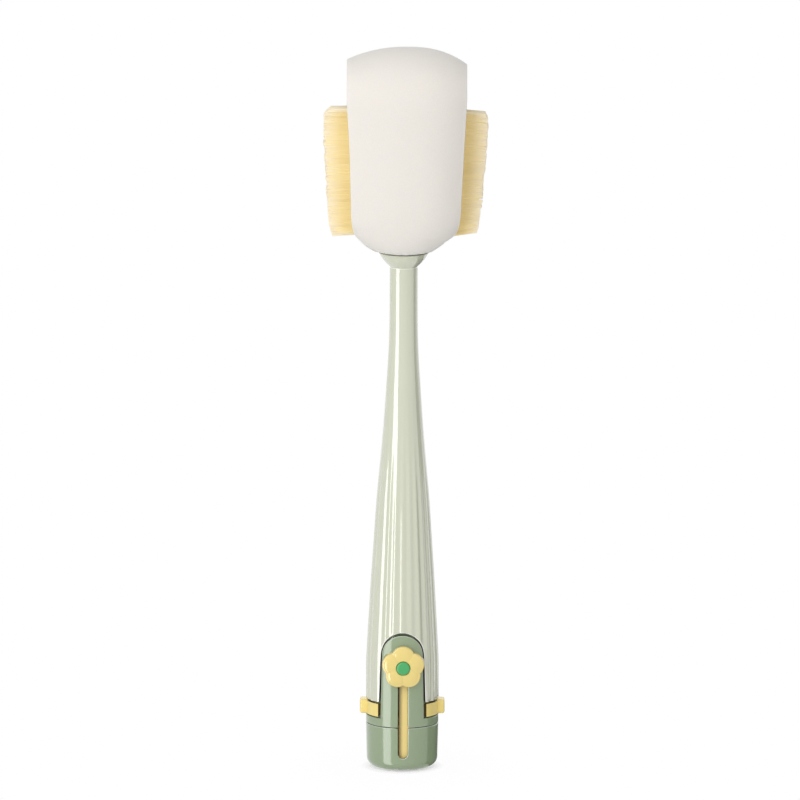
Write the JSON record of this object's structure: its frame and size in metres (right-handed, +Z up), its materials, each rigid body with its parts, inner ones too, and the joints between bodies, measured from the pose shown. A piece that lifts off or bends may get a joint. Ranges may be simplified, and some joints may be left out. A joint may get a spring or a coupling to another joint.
{
  "type": "bottle brush",
  "caption": "Long-handled bottle brush: folded foam head with side bristles on a fluted hollow handle; a base that pulls out holds a straw brush and a thumb-slid gap brush.",
  "frame": {"origin": "centre of the overall box at its lowest height: the flat underside of the base cup, on the handle's axis", "axes": "+Z up along the handle towards the foam head; -Y is the front, with the flower button; +X is to the right seen from the front"},
  "size_m": [0.0764, 0.048, 0.34],
  "materials": {
    "handle_plastic": "pale green satin moulding",
    "base_plastic": "sage green satin moulding",
    "yellow_plastic": "soft yellow satin moulding",
    "green_cap": "bright green satin moulding",
    "foam": "white open-cell foam",
    "straw_bristle": "straw-yellow nylon bristles",
    "white_bristle": "white nylon bristles",
    "steel": "stainless wire",
    "seal_rubber": "soft grey ring"
  },
  "bodies": {
    "handle": {"handle_shell": "handle_plastic", "head_collar": "handle_plastic", "head_core": "yellow_plastic", "left_bristles": "straw_bristle", "right_bristles": "straw_bristle", "foam_pad": "foam"},
    "base": {"slide_housing": "base_plastic", "spigot_seal": "seal_rubber", "base_cup": "base_plastic", "grip_ring": "yellow_plastic", "straw_wire": "steel", "straw_bristles": "white_bristle"},
    "slider": {"brush_carrier": "yellow_plastic", "gap_bristles": "straw_bristle", "flower_button": "yellow_plastic", "flower_centre": "green_cap", "button_screw": "steel"}
  },
  "joints": [
    {"name": "base_pull", "type": "slide", "parent": "handle", "child": "base", "axis": [0, 0, -1], "range_m": [0, 0.166]},
    {"name": "brush_slide", "type": "slide", "parent": "base", "child": "slider", "axis": [0, 0, -1], "range_m": [0, 0.0396]}
  ]
}
